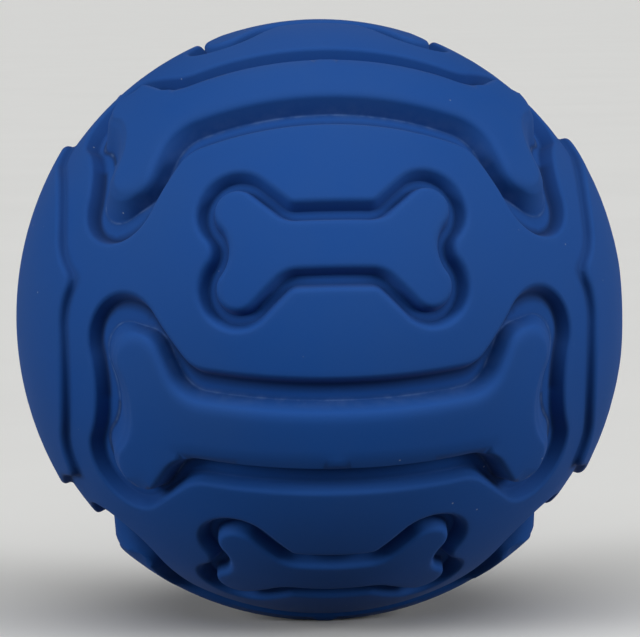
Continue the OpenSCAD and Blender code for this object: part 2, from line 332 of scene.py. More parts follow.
class Outline:
    """Quarter of a bone's outline, from the seam to the notch, in metres on the ball's surface."""

    def __init__(self, shaft, knob, knob_r, notch_x, flare, fillet):
        knob = np.array(knob)
        flare_side = np.array((-math.sin(flare), math.cos(flare)))
        flare_along = np.array((math.cos(flare), math.sin(flare)))
        flare_end = knob + knob_r * flare_side
        corner = flare_end - flare_along * (flare_end[1] - shaft) / math.sin(flare)
        tangent = fillet * math.tan(flare / 2)
        shaft_end = np.array((corner[0] - tangent, shaft))
        back = knob_r - notch_x
        notch_c = (knob @ knob - back * back) / (2 * (knob[0] + back))
        notch_from = math.atan2(-knob[1], notch_c - knob[0])
        right = math.pi / 2
        runs = [
            self.line(np.array((0.0, shaft)), np.array((SEAM_ROW, shaft)), (0.0, 1.0)),
            self.line(np.array((SEAM_ROW, shaft)), shaft_end, (0.0, 1.0)),
            self.arc(shaft_end + (0.0, fillet), fillet, -right, flare - right, -1),
            self.line(corner + tangent * flare_along, flare_end, flare_side),
            self.arc(knob, knob_r, right + flare, notch_from, 1),
            self.arc((notch_c, 0.0), notch_c - notch_x, math.pi + notch_from, math.pi, -1),
        ]
        last = runs[-1]
        self.points = np.vstack([points[:-1] for points, _ in runs] + [last[0][-1:]])
        self.normals = np.vstack([normals[:-1] for _, normals in runs] + [last[1][-1:]])
        self.points[-1, 1] = 0.0
        self.normals[-1] = (1.0, 0.0)

    @staticmethod
    def line(start, end, normal):
        """Points and normals along a straight stretch."""
        count = max(2, math.ceil(np.linalg.norm(end - start) / ALONG_OUTLINE) + 1)
        return np.linspace(start, end, count), np.tile(normal, (count, 1))

    @staticmethod
    def arc(centre, radius, start, end, side):
        """Points and normals along an arc, whose normals point away from its centre for a side of 1."""
        count = max(3, math.ceil(abs(end - start) * radius / ALONG_OUTLINE) + 1)
        out = on_circle(np.linspace(start, end, count))
        return np.array(centre) + radius * out, side * out

    def nearest(self, places):
        """Signed distance of places from the outline, negative inside, and how far it faces across."""
        start = self.points[:-1]
        along = self.points[1:] - start
        to = places[:, None] - start
        part = np.clip((to * along).sum(2) / (along * along).sum(1), 0, 1)
        off = to - part[..., None] * along
        square = (off * off).sum(2)
        nearest = square.argmin(1)
        row = np.arange(len(places))
        cross = along[nearest, 0] * to[row, nearest, 1] - along[nearest, 1] * to[row, nearest, 0]
        across = self.normals[nearest, 1]
        across = across + part[row, nearest] * (self.normals[nearest + 1, 1] - across)
        return np.where(cross < 0, -1, 1) * np.sqrt(square[row, nearest]), across

    def distance(self, places):
        """Signed distance of places from the outline, negative inside the bone."""
        return self.nearest(places)[0]


def rounded_step(top, foot, top_round, foot_round):
    """Offsets and radii down a wall from top to foot, both (offset, radius), with rounded edges."""
    way = math.copysign(1.0, foot[0] - top[0])
    run, drop = abs(foot[0] - top[0]), top[1] - foot[1]
    turn = math.atan2(drop, run)
    turns = np.linspace(0, turn, ROUNDING_STEPS + 1)
    set_in = top_round * math.tan(turn / 2)
    set_out = foot_round * math.tan(turn / 2)
    along = np.concatenate((
        top_round * np.sin(turns) - set_in,
        run + set_out - foot_round * np.sin(turns[::-1]),
    ))
    down = np.concatenate((
        top_round * (1 - np.cos(turns)),
        drop - foot_round * (1 - np.cos(turns[::-1])),
    ))
    offsets, radii = top[0] + way * along, top[1] - down
    return (offsets, radii) if way > 0 else (offsets[::-1], radii[::-1])


def closeness(offset, band, reach):
    """How close offsets are to the middle of a band, from 1 there to 0 at a reach from it."""
    return np.clip(1 - np.abs(offset - (band[0] + band[-1]) / 2) / reach, 0, 1)


def widened(across, factor):
    """Widening of a wall that faces across by that much: the factor beside a shaft, 1 at an end."""
    return 1 + (factor - 1) * across * across


class Relief:
    """Surface of the right half of the ball as a radius in each direction.

    Directions are (along the axis, towards a long bone, across it towards the next short bone).
    On away panels the walls of the long bones face away from the pull of the mould.
    """

    def __init__(self, settings, away=False):
        ball, bone, pocket = settings.ball, settings.long_bone, settings.recess
        self.radius = ball.radius
        self.panel = ball.radius - ball.panel_step
        self.floor = ball.radius - ball.floor_step
        self.copies = ball.bones
        self.half_pitch = math.pi / ball.bones
        self.spoke = np.array((math.cos(self.half_pitch), math.sin(self.half_pitch)))
        self.side = np.array((-self.spoke[1], self.spoke[0]))
        self.draft, self.end_lean, self.lean_from = bone.draft, bone.end_lean, bone.knob_x
        self.kink_round = settings.cap.kink_round
        self.long_rim = bone.away_rim if away else bone.front_rim
        self.long_side = bone.away_wall if away else bone.front_wall
        self.recess_side = 1.0 if away else pocket.away_wall
        # Shares of the painted shade at the foot of the long bone's walls and of the recess's walls
        self.long_shade = AWAY_SHADE if away else FRONT_SHADE
        self.recess_shade = FRONT_SHADE if away else AWAY_SHADE
        self.draw_outlines(bone, pocket, settings.short_bone, settings.cap)
        self.draw_walls(bone, pocket, settings.short_bone, settings.cap)

    def draw_outlines(self, bone, pocket, short, cap):
        """Draws the outlines of the bones, the recess and the scallops."""
        self.long = Outline(
            bone.shaft_w / 2, (bone.knob_x, bone.knob_y), bone.knob_r, bone.notch_x, bone.flare, bone.fillet
        )
        self.short = Outline(
            short.shaft_w / 2, (short.knob_x, short.knob_y), short.knob_r,
            short.notch_x, short.flare, short.fillet,
        )
        shaft = bone.shaft_w / 2 + pocket.side
        knob = (bone.knob_x + pocket.lead, bone.knob_y + pocket.spread)
        knob_r = bone.knob_r + pocket.ring
        notch = bone.notch_x + pocket.notch
        self.recess = Outline(shaft, knob, knob_r, notch, pocket.flare, pocket.fillet)
        self.cap_from = math.sin(knob[0] / self.radius)
        scallop_knob = (knob[0] + cap.lead, knob[1] + cap.spread)
        scallop_r = knob_r + cap.ring
        self.scallop = Outline(
            shaft, scallop_knob, scallop_r, notch + cap.notch, pocket.flare, pocket.fillet
        )
        self.rim_angle = (scallop_knob[0] + scallop_r) / self.radius

    def draw_walls(self, bone, pocket, short, cap):
        """Draws the walls between the levels and the dome of the caps."""
        groove_floor = self.panel - short.groove_depth
        groove_foot = short.groove_w - short.groove_draft
        rim = self.radius + cap.lip
        crown = self.radius - cap.flat
        cap_foot = cap.draft * (self.panel - self.floor) / (rim - self.floor)
        self.long_wall = rounded_step(
            (0, self.radius), (bone.draft, self.floor), bone.top_round, bone.foot_round
        )
        self.recess_wall = rounded_step(
            (0, self.panel), (-pocket.draft, self.floor), pocket.rim_round, pocket.foot_round
        )
        self.short_wall = rounded_step(
            (0, self.panel), (short.draft, groove_floor), short.top_round, short.foot_round
        )
        self.groove_wall = rounded_step(
            (short.groove_w, self.panel), (groove_foot, groove_floor), short.top_round, short.foot_round
        )
        self.cap_wall = rounded_step(
            (cap.draft, rim), (cap_foot, self.panel), cap.rim_round, cap.foot_round
        )
        self.dome_x = (rim * rim - crown * crown) / (2 * (rim * math.sin(self.rim_angle) - crown))
        self.dome_r = crown - self.dome_x

    def dome_at(self, across):
        """Place along the axis of the cap's dome at a distance from the axis."""
        return self.dome_x + math.sqrt(self.dome_r**2 - across**2)

    def long_place(self, directions):
        """Places of directions round the long bone."""
        along, towards, across = directions.T
        return self.radius * np.column_stack((
            np.arctan2(along, towards), np.arcsin(np.clip(across, -1, 1))
        ))

    def short_place(self, directions):
        """Places of directions round the short bone, across it as a plain distance."""
        along, towards, across = directions.T
        c, s = self.spoke
        facing, aside = c * towards + s * across, s * towards - c * across
        return self.radius * np.column_stack((
            np.arctan2(along, facing), np.abs(np.arcsin(np.clip(aside, -1, 1)))
        ))

    def long_direction(self, places):
        """Directions of places round the long bone."""
        u, v = (places / self.radius).T
        return np.column_stack((np.cos(v) * np.sin(u), np.cos(v) * np.cos(u), np.sin(v)))

    def short_direction(self, places):
        """Directions of places on the near side of the short bone."""
        along, facing, aside = self.long_direction(places).T
        c, s = self.spoke
        return np.column_stack((along, c * facing + s * aside, s * facing - c * aside))

    def long_distance(self, places):
        """Distance down the long bone's wall, as long as the draft, and plain distance from its edge."""
        plain, across = self.long.nearest(places)
        u, v = places.T
        low, high = np.zeros(len(places)), np.full(len(places), LEAN_REACH * self.draft)
        for _ in range(LEAN_STEPS):
            middle = (low + high) / 2
            upright = np.maximum(u - middle * self.end_lean / self.draft, np.minimum(u, self.lean_from))
            distance, facing = self.long.nearest(np.column_stack((upright, v)))
            within = distance < middle * widened(facing, self.long_side)
            low, high = np.where(within, low, middle), np.where(within, middle, high)
        level = plain / widened(across, np.where(plain < 0, self.long_rim, self.long_side))
        return np.where((plain > 0) & (u > self.lean_from), (low + high) / 2, level), plain

    def recess_distance(self, places):
        """Distance from the rim of the recess, inside it as a distance down its wall."""
        plain, across = self.recess.nearest(places)
        return np.where(plain < 0, plain / widened(across, self.recess_side), plain)

    def cap_distance(self, directions):
        """Distance past the scallops, negative on the panels, rounded off where two scallops meet."""
        along, towards, across = directions.T
        c, s = math.cos(2 * self.half_pitch), math.sin(2 * self.half_pitch)
        mirrored = np.column_stack((along, c * towards + s * across, s * towards - c * across))
        own = self.scallop.distance(self.long_place(directions))
        other = self.scallop.distance(self.long_place(mirrored))
        blend = np.clip(1 - np.abs(own - other) / self.kink_round, 0, 1)
        return np.minimum(own, other) - self.kink_round / 4 * blend * blend

    def wall_distance(self, outline, places):
        """Distance of places from the wall that follows an outline, as the heights measure it."""
        if outline is self.long:
            return self.long_distance(places)[0]
        if outline is self.recess:
            return self.recess_distance(places)
        if outline is self.scallop:
            return self.cap_distance(self.long_direction(places))
        return outline.distance(places)

    def heights(self, directions):
        """Radius in each direction, and the shares of painted highlight on a rim, painted shade at a foot and
        painted highlight in a crease, from 0 to 1.
        """
        on_long = self.long_place(directions)
        to_long, from_edge = self.long_distance(on_long)
        stretch = np.where(from_edge > 0, to_long / np.maximum(from_edge, ON_LINE), 1)
        to_recess = self.recess_distance(on_long)
        to_short = self.short.distance(self.short_place(directions))
        to_cap = np.where(directions[:, 0] > self.cap_from, self.cap_distance(directions), -self.radius)
        pocket = np.interp(to_recess, *self.recess_wall)
        radius = np.maximum(pocket, np.interp(to_long, *self.long_wall))
        groove = np.maximum(np.interp(to_short, *self.short_wall), np.interp(to_short, *self.groove_wall))
        radius -= self.panel - groove
        rise = (np.interp(to_cap, *self.cap_wall) - self.panel) / (self.cap_wall[1].max() - self.panel)
        axis = directions[:, 0]
        dome = self.dome_x * axis + np.sqrt(self.dome_r**2 - self.dome_x**2 * (1 - axis * axis))
        radius += rise * (dome - self.panel)
        edges = [
            (to_long, stretch, self.long_wall, self.long_shade),
            (to_recess, 1, self.recess_wall, self.recess_shade),
            (to_short, 1, self.short_wall, SHORT_SHADE),
            (to_short, 1, self.groove_wall, SHORT_SHADE),
            (to_cap, 1, self.cap_wall, SHORT_SHADE),
        ]
        rim, foot = np.zeros(len(directions)), np.zeros(len(directions))
        for offset, scale, (offsets, radii), shade in edges:
            first, last = offsets[: ROUNDING_STEPS + 1], offsets[-ROUNDING_STEPS - 1 :]
            upper, lower = (first, last) if radii[0] > radii[-1] else (last, first)
            # Painted highlight along each rounded top edge
            rim = np.maximum(rim, closeness(offset, upper, RIM_REACH * abs(upper[-1] - upper[0])))
            # Painted shade at the foot of each wall
            foot = np.maximum(foot, shade * closeness(offset, lower, scale * FOOT_REACH))
        # Painted highlight along the foot of a long bone
        crease = closeness(to_long, self.long_wall[0][-ROUNDING_STEPS - 1 :], stretch * CREASE_W)
        return radius, {"rim": rim, "foot": foot, "crease": crease}


def to_chart(directions):
    """Directions as places on a flat sector seen from the end of the axis, angles kept."""
    return directions[:, 1:] / (1 + directions[:, :1])


def from_chart(places):
    """Directions of places on the flat sector."""
    square = (places * places).sum(1)[:, None]
    return np.hstack((1 - square, 2 * places)) / (1 + square)


def filled(values, low, high, gap):
    """Values to add between sorted ones from low to high, so that none lie further apart than gap."""
    ends = np.unique(np.round([low, *values, high], DECIMALS))
    extra = []
    for a, b in zip(ends[:-1], ends[1:]):
        extra.extend(np.linspace(a, b, math.ceil((b - a) / gap) + 1)[1:-1])
    return extra


def chart_radius(along):
    """Distance from the middle of the flat sector of directions that lie this far along the axis."""
    return math.sqrt((1 - along) / (1 + along))


def cut_to_sector(row, usable, beyond):
    """Stretches of a row's usable points on the flat sector, ended where they pass beyond its far border."""
    stretches, stretch = [], []
    for i, place in enumerate(row):
        crosses = i and usable[i] and usable[i - 1] and beyond[i] * beyond[i - 1] < 0
        if crosses and min(abs(beyond[i]), abs(beyond[i - 1])) > ON_LINE:
            part = beyond[i - 1] / (beyond[i - 1] - beyond[i])
            stretch.append(row[i - 1] + part * (place - row[i - 1]))
        if usable[i] and beyond[i] < ON_LINE:
            stretch.append(place)
        elif stretch:
            stretches.append(np.array(stretch))
            stretch = []
    if stretch:
        stretches.append(np.array(stretch))
    return [stretch for stretch in stretches if len(stretch) > 1]


def outline_rows(relief):
    """Rows of points along every wall of the relief, as polylines on the flat sector."""
    cap_reach = chart_radius(relief.cap_from)
    walls = [
        (relief.long, relief.long_wall, relief.long_direction, 1.0),
        (relief.recess, relief.recess_wall, relief.long_direction, 1.0),
        (relief.short, relief.short_wall, relief.short_direction, 1.0),
        (relief.short, relief.groove_wall, relief.short_direction, 1.0),
        (relief.scallop, relief.cap_wall, relief.long_direction, cap_reach),
    ]
    rows = []
    for outline, (offsets, _), direction, reach in walls:
        for offset in (offsets[0] - PLAIN_ROW, *offsets, offsets[-1] + PLAIN_ROW):
            places = outline.points + offset * outline.normals
            distance = outline.distance(places)
            # The walls of a short bone follow its plain outline, so their rows need no settling
            for _ in range(0 if outline is relief.short else SETTLE_STEPS):
                distance = relief.wall_distance(outline, places)
                places += (offset - distance)[:, None] * outline.normals
            chart = to_chart(direction(places))
            usable = (np.abs(distance - offset) < SETTLED) & (chart[:, 1] > -ON_LINE)
            usable &= np.hypot(*chart.T) < reach + ON_LINE
            rows.extend(cut_to_sector(chart, usable, chart @ relief.side))
    return rows


def sector_border(relief, points, inner):
    """Places round the border of the flat sector, and the angles of those that fill its seam."""
    gap = ALONG_BORDER / relief.radius
    distance = np.hypot(*points.T)
    near, far = (
        np.unique(np.round([inner, *cuts, *filled(cuts, inner, 1, gap), 1], DECIMALS))
        for cuts in (
            distance[np.abs(points[:, 1]) < ON_BORDER],
            distance[np.abs(points @ relief.side) < ON_BORDER],
        )
    )
    at_seam = np.arctan2(points[:, 1], points[:, 0])[np.abs(distance - 1) < ON_BORDER]
    seam_fill = np.array(filled(at_seam, 0, relief.half_pitch, gap))
    seam = np.unique(np.round([*at_seam, *seam_fill], DECIMALS))
    seam = seam[(seam > AT_CORNER) & (seam < relief.half_pitch - AT_CORNER)]
    crown = np.linspace(relief.half_pitch, 0, CROWN_STEPS + 1)[1:-1]
    border = np.vstack((
        np.column_stack((near, np.zeros(len(near)))),
        on_circle(seam),
        far[::-1, None] * relief.spoke,
        inner * on_circle(crown),
    ))
    return border, seam_fill


def plain_grid(relief, inner, taken):
    """Places of an even triangle grid on the flat sector, clear of the places that are taken."""
    tree = KDTree(len(taken))
    for i, place in enumerate(taken):
        tree.insert((*place, 0.0), i)
    tree.balance()
    step = OVER_PLAIN / relief.radius
    rise = step * math.sqrt(0.75)
    grid = []
    for j in range(math.ceil(1 / rise)):
        for i in range(math.ceil(1 / step)):
            place = np.array((step * (i + 0.5 * (j % 2)), rise * j))
            inside = inner < np.hypot(*place) < 1 and place @ relief.side < 0
            if inside and tree.find((*place, 0.0))[2] > GRID_CLEAR * step:
                grid.append(place)
    return grid


def triangulated(relief, border, rows, loose):
    """Places and triangles of the flat sector, with edges along its border and along every row."""
    edges, first = [], len(border)
    for row in rows:
        edges.extend((first + i, first + i + 1) for i in range(len(row) - 1))
        first += len(row)
    flat, _, triangles, _, _, inside_of = delaunay_2d_cdt(
        [Vector(place) for place in np.vstack((border, *rows, loose))],
        edges, [list(range(len(border)))], 1, CHART_WELD, True,
    )
    places = np.array(flat)
    places[np.abs(places[:, 1]) < CHART_WELD, 1] = 0.0
    on_border = (
        places[:, 1] == 0.0,
        np.abs(places @ relief.side) < CHART_WELD,
        np.abs(np.hypot(*places.T) - 1) < CHART_WELD,
    )
    faces = [
        list(triangle)
        for triangle, polygons in zip(triangles, inside_of)
        if polygons and not any(line[list(triangle)].all() for line in on_border)
    ]
    return places, faces


def sector_surface(relief):
    """Points, triangles and point values of a tenth of the right half's outside."""
    rows = outline_rows(relief)
    points = np.vstack(rows)
    crown_along = relief.dome_at(CROWN_R)
    inner = chart_radius(crown_along / math.hypot(crown_along, CROWN_R))
    border, seam_fill = sector_border(relief, points, inner)
    beside_seam = (1 - SEAM_ROW / relief.radius) * on_circle(seam_fill)
    grid = plain_grid(relief, inner, np.vstack((points, border)))
    places, faces = triangulated(relief, border, rows, np.vstack((beside_seam, grid)))
    directions = from_chart(places)
    directions[np.abs(directions[:, 0]) < AT_SEAM, 0] = 0.0
    radii, values = relief.heights(directions)
    along, towards, across = (directions * radii[:, None]).T
    return np.column_stack((along, across, -towards)), faces, values


def sector_mesh(front, away):
    """Mesh of the two kinds of sector in one place, told apart by their away value."""
    points, faces, values = sector_surface(front)
    other_points, other_faces, other_values = sector_surface(away)
    faces.extend([len(points) + i for i in face] for face in other_faces)
    mesh = bpy.data.meshes.new("ball_sectors")
    mesh.from_pydata(np.vstack((points, other_points)), [], faces)
    values["away"], other_values["away"] = np.zeros(len(points)), np.ones(len(other_points))
    for name in values:
        both = np.concatenate((values[name], other_values[name])).astype(np.float32)
        mesh.attributes.new(name, "FLOAT", "POINT").data.foreach_set("value", both)
    return mesh


def add_node(tree, kind, settings=None, inputs=None):
    """Adds a node, sets its settings, and sets or links its inputs, several links as a list."""
    node = tree.nodes.new(kind)
    for name, value in (settings or {}).items():
        setattr(node, name, value)
    for name, value in (inputs or {}).items():
        for source in value if isinstance(value, list) else [value]:
            if isinstance(source, bpy.types.NodeSocket):
                tree.links.new(source, node.inputs[name])
            else:
                node.inputs[name].default_value = source
    return node


def round_the_ball_tree():
    """Node tree that makes the outside of a half from its sectors: mirrored, turned round X, welded."""
    tree = bpy.data.node_groups.new("Round the ball", "GeometryNodeTree")
    sockets = {
        "Sectors": "Geometry", "Copies": "Int", "Front panel": "Int",
        "Left half": "Bool", "Weld distance": "Float", "Rubber": "Material",
    }
    for name, kind in sockets.items():
        tree.interface.new_socket(name, in_out="INPUT", socket_type="NodeSocket" + kind)
    tree.interface.new_socket("Outside", in_out="OUTPUT", socket_type="NodeSocketGeometry")
    given = add_node(tree, "NodeGroupInput").outputs
    pitch = add_node(tree, "ShaderNodeMath", {"operation": "DIVIDE"}, {0: math.tau, 1: given["Copies"]})
    next_bone = add_node(tree, "ShaderNodeCombineXYZ", inputs={"X": pitch.outputs[0]})
    index = add_node(tree, "GeometryNodeInputIndex")
    turn = add_node(
        tree, "ShaderNodeMath", {"operation": "MULTIPLY"}, {0: index.outputs[0], 1: pitch.outputs[0]}
    )
    about_x = add_node(tree, "ShaderNodeCombineXYZ", inputs={"X": turn.outputs[0]})
    rotation = add_node(tree, "FunctionNodeEulerToRotation", inputs={0: about_x.outputs[0]})
    centres = add_node(tree, "GeometryNodePoints", inputs={"Count": given["Copies"]})
    from_front = add_node(
        tree, "ShaderNodeMath", {"operation": "SUBTRACT"}, {0: index.outputs[0], 1: given["Front panel"]}
    )
    apart = add_node(tree, "ShaderNodeMath", {"operation": "ABSOLUTE"}, {0: from_front.outputs[0]})
    is_away = add_node(
        tree, "ShaderNodeMath", {"operation": "COMPARE"}, {0: apart.outputs[0], 1: 1.0, 2: 0.5}
    )
    is_front = add_node(tree, "ShaderNodeMath", {"operation": "SUBTRACT"}, {0: 1.0, 1: is_away.outputs[0]})
    away = add_node(tree, "GeometryNodeInputNamedAttribute", {"data_type": "FLOAT"}, {"Name": "away"})
    kinds = add_node(
        tree, "GeometryNodeSeparateGeometry", {"domain": "POINT"},
        {"Geometry": given["Sectors"], "Selection": away.outputs[0]},
    )
    panels = []
    for kind, picked in ((kinds.outputs["Selection"], is_away), (kinds.outputs["Inverted"], is_front)):
        mirrored = add_node(
            tree, "GeometryNodeTransform",
            inputs={"Geometry": kind, "Scale": (1, -1, 1), "Rotation": next_bone.outputs[0]},
        )
        turned_out = add_node(tree, "GeometryNodeFlipFaces", inputs={"Mesh": mirrored.outputs[0]})
        panel = add_node(tree, "GeometryNodeJoinGeometry", inputs={"Geometry": [kind, turned_out.outputs[0]]})
        placed = add_node(
            tree, "GeometryNodeInstanceOnPoints",
            inputs={
                "Points": centres.outputs[0], "Selection": picked.outputs[0],
                "Instance": panel.outputs[0], "Rotation": rotation.outputs[0],
            },
        )
        panels.append(placed.outputs[0])
    copies = add_node(tree, "GeometryNodeJoinGeometry", inputs={"Geometry": panels})
    solid = add_node(tree, "GeometryNodeRealizeInstances", inputs={"Geometry": copies.outputs[0]})
    right = add_node(
        tree, "GeometryNodeMergeByDistance",
        inputs={"Geometry": solid.outputs[0], "Distance": given["Weld distance"]},
    )
    swapped = add_node(
        tree, "GeometryNodeTransform", inputs={"Geometry": right.outputs[0], "Scale": (-1, 1, 1)}
    )
    left = add_node(tree, "GeometryNodeFlipFaces", inputs={"Mesh": swapped.outputs[0]})
    half = add_node(
        tree, "GeometryNodeSwitch", {"input_type": "GEOMETRY"},
        {"Switch": given["Left half"], "False": right.outputs[0], "True": left.outputs[0]},
    )
    smooth = add_node(tree, "GeometryNodeSetShadeSmooth", inputs={"Geometry": half.outputs[0]})
    coated = add_node(
        tree, "GeometryNodeSetMaterial", inputs={"Geometry": smooth.outputs[0], "Material": given["Rubber"]}
    )
    add_node(tree, "NodeGroupOutput", inputs={"Outside": coated.outputs[0]})
    return tree


def half_outside(name, sectors, tree, copies, left, rubber):
    """Plain mesh object of one half's outside, made by the node tree."""
    carrier = bpy.data.objects.new(name, sectors)
    bpy.context.scene.collection.objects.link(carrier)
    modifier = carrier.modifiers.new("Round the ball", "NODES")
    modifier.node_group = tree
    values = {
        "Copies": copies, "Front panel": FRONT_PANEL,
        "Left half": left, "Weld distance": WELD, "Rubber": rubber,
    }
    for item in tree.interface.items_tree:
        if item.in_out == "INPUT" and item.name in values:
            modifier[item.identifier] = values[item.name]
    evaluated = carrier.evaluated_get(bpy.context.evaluated_depsgraph_get())
    mesh = bpy.data.meshes.new_from_object(evaluated)
    mesh.name = name
    carrier.modifiers.remove(modifier)
    carrier.data = mesh
    return carrier


def lathe(bm, profile, steps):
    """Adds the surface of a profile of (along X, from X) turned about X, from straight below."""
    turns = [math.tau * i / steps for i in range(steps)]
    rings = []
    for along, across in profile:
        rings.append([bm.verts.new((along, across * math.sin(t), -across * math.cos(t))) for t in turns])
    for a, b in zip(rings[:-1], rings[1:]):
        for i in range(steps):
            k = (i + 1) % steps
            face = bm.faces.new((a[i], a[k], b[k], b[i]))
            face.smooth = True


def on_sphere(radius, start, end, steps):
    """Profile on a sphere about the origin, between two angles from the axis."""
    angles = np.linspace(start, end, steps + 1)
    return [(radius * math.cos(a), radius * math.sin(a)) for a in angles]


def rounded_corners(corners, radius):
    """Closed profile with every corner rounded, less where the sides are short."""
    profile = []
    for before, corner, after in zip(corners[-1:] + corners[:-1], corners, corners[1:] + corners[:1]):
        corner = Vector(corner)
        back, on = Vector(before) - corner, Vector(after) - corner
        turn = math.pi - back.angle(on)
        reach = min(radius * math.tan(turn / 2), CORNER_SHARE * min(back.length, on.length))
        rounding = reach / math.tan(turn / 2)
        start, end = corner + back.normalized() * reach, corner + on.normalized() * reach
        centre = corner + (back.normalized() + on.normalized()).normalized() * math.hypot(reach, rounding)
        for i in range(EDGE_STEPS + 1):
            spoke = (start - centre).lerp(end - centre, i / EDGE_STEPS).normalized() * rounding
            profile.append(tuple(centre + spoke))
    return profile


def close_mesh(obj, bm, name):
    """Writes a closed mesh with outward faces, sharp only at hard corners, into an object."""
    bmesh.ops.remove_doubles(bm, verts=bm.verts, dist=WELD)
    bmesh.ops.dissolve_degenerate(bm, edges=bm.edges, dist=WELD)
    seam = [e for e in bm.edges if e.is_boundary]
    if seam:
        bmesh.ops.triangle_fill(bm, edges=seam, use_beauty=True)
    open_edges = sum(not e.is_manifold for e in bm.edges)
    if open_edges:
        raise RuntimeError(f"{name} is not closed: {open_edges} loose edges")
    bmesh.ops.recalc_face_normals(bm, faces=bm.faces)
    bm.to_mesh(obj.data)
    bm.free()
    obj.data.set_sharp_from_angle(angle=SHARP)


def flange_faces(relief, squeaker):
    """Places along the axis of the flange's outer and inner faces."""
    outer = relief.dome_x + relief.dome_r - squeaker.flange_sink
    return outer, outer - squeaker.flange_t


def crown_profile(relief, squeaker):
    """Right-hand crown, counterbore, neck hole and boss, from the relief's edge to the chamber."""
    bore = squeaker.flange_d / 2 + squeaker.fit
    neck = squeaker.neck_d / 2 + squeaker.fit
    boss = squeaker.boss_d / 2
    flange_in = flange_faces(relief, squeaker)[1]
    boss_x = flange_in - squeaker.collar_t
    rim_r = squeaker.rim_round
    rim_across = bore + rim_r
    rim_along = relief.dome_x + math.sqrt((relief.dome_r - rim_r) ** 2 - rim_across**2)
    start = math.asin(rim_across / (relief.dome_r - rim_r))
    angles = np.linspace(start, -math.pi / 2, FLANGE_RIM_STEPS + 1)
    rim = [(rim_along + rim_r * math.cos(a), rim_across + rim_r * math.sin(a)) for a in angles]
    seat = flange_in - squeaker.fit
    collar = [(seat, bore), (seat, neck), (boss_x, neck), (boss_x, boss)]
    return [(relief.dome_at(CROWN_R), CROWN_R), *rim, *collar]


class DOGBALL_OT_rubber_shells(bpy.types.Operator):
    """Build both rubber halves, with their relief, seam, chamber and squeaker collar"""

    bl_idname = "dog_ball.rubber_shells"
    bl_label = "Rubber shells"

    def execute(self, context):
        settings = context.scene.dog_ball
        relief = Relief(settings)
        sectors = sector_mesh(relief, Relief(settings, away=True))
        tree = round_the_ball_tree()
        rubber = rubber_material(settings.finishes)
        sectors.materials.append(rubber)
        chamber = settings.ball.radius - settings.ball.wall
        tongue = chamber + settings.seam.tongue_t
        steps = 2 * CROWN_STEPS * relief.copies
        boss = settings.squeaker.boss_d / 2

        right = half_outside("rubber_shell_right", sectors, tree, relief.copies, False, rubber)
        bm = bmesh.new()
        bm.from_mesh(right.data)
        end = -settings.seam.tongue_l
        inside = on_sphere(
            chamber, math.asin(boss / chamber), math.acos(end / chamber), RIGHT_INSIDE_STEPS
        )
        profile = crown_profile(relief, settings.squeaker) + inside + [(end, tongue), (0.0, tongue)]
        lathe(bm, profile, steps)
        close_mesh(right, bm, right.name)

        left = half_outside("rubber_shell_left", sectors, tree, relief.copies, True, rubber)
        bm = bmesh.new()
        bm.from_mesh(left.data)
        crown = [(-relief.dome_at(r), r) for r in CROWN_R * np.linspace(1, 0, LEFT_CROWN_STEPS + 1)]
        lathe(bm, crown, steps)
        end -= settings.seam.cement
        rebate = tongue + settings.seam.cement
        inside = on_sphere(chamber, math.pi, math.acos(end / chamber), LEFT_INSIDE_STEPS)
        lathe(bm, inside + [(end, rebate), (0.0, rebate)], steps)
        close_mesh(left, bm, left.name)

        for shell, node in ((right, "shell_right"), (left, "shell_left")):
            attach(shell, "ball")
            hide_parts(node)
        return {"FINISHED"}


class DOGBALL_OT_squeaker_barrel(bpy.types.Operator):
    """Build the push-in squeaker barrel with moulded edges"""

    bl_idname = "dog_ball.squeaker_barrel"
    bl_label = "Squeaker barrel"

    def execute(self, context):
        settings = context.scene.dog_ball
        squeaker = settings.squeaker
        relief = Relief(settings)
        flange_out, flange_in = flange_faces(relief, squeaker)
        barb_out = flange_in - squeaker.collar_t - squeaker.fit
        barrel_in = barb_out - squeaker.barb_l
        bore_end = flange_out - squeaker.end_t
        bore, neck, barb = squeaker.bore_d / 2, squeaker.neck_d / 2, squeaker.barb_d / 2
        flange, hole = squeaker.flange_d / 2, squeaker.sound_d / 2
        corners = [
            (barrel_in, bore), (barrel_in, neck), (barb_out - squeaker.barb_l * squeaker.barb_land, barb),
            (barb_out, barb), (barb_out, neck), (flange_in, neck), (flange_in, flange),
            (flange_out, flange), (flange_out, hole), (bore_end, hole), (bore_end, bore),
        ]
        profile = rounded_corners(corners, squeaker.edge_round)
        name = "squeaker_barrel_moulded"
        barrel = bpy.data.objects.new(name, bpy.data.meshes.new(name))
        context.scene.collection.objects.link(barrel)
        bm = bmesh.new()
        lathe(bm, profile + profile[:1], BARREL_STEPS)
        close_mesh(barrel, bm, barrel.name)
        barrel.data.materials.append(barrel_material(settings.finishes))
        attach(barrel, "ball")
        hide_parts("squeaker_barrel")
        return {"FINISHED"}


class DOGBALL_OT_reed_parts(bpy.types.Operator):
    """Give the reed and its block their finishes"""

    bl_idname = "dog_ball.reed_parts"
    bl_label = "Reed parts"

    def execute(self, context):
        finishes = context.scene.dog_ball.finishes
        block = reed_block_material(finishes)
        film = reed_film_material(finishes)
        for node, material in (("reed_anvil", block), ("reed_wedge", block), ("reed", film)):
            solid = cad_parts[node]
            solid.data.materials.clear()
            solid.data.materials.append(material)
        return {"FINISHED"}


def new_material(name):
    """An empty material, its node tree, its shader and its object coordinates."""
    material = bpy.data.materials.new(name)
    material.use_nodes = True
    tree = material.node_tree
    tree.nodes.clear()
    shader = add_node(tree, "ShaderNodeBsdfPrincipled")
    add_node(tree, "ShaderNodeOutputMaterial", inputs={"Surface": shader.outputs[0]})
    places = add_node(tree, "ShaderNodeTexCoord").outputs["Object"]
    return material, tree, shader, places
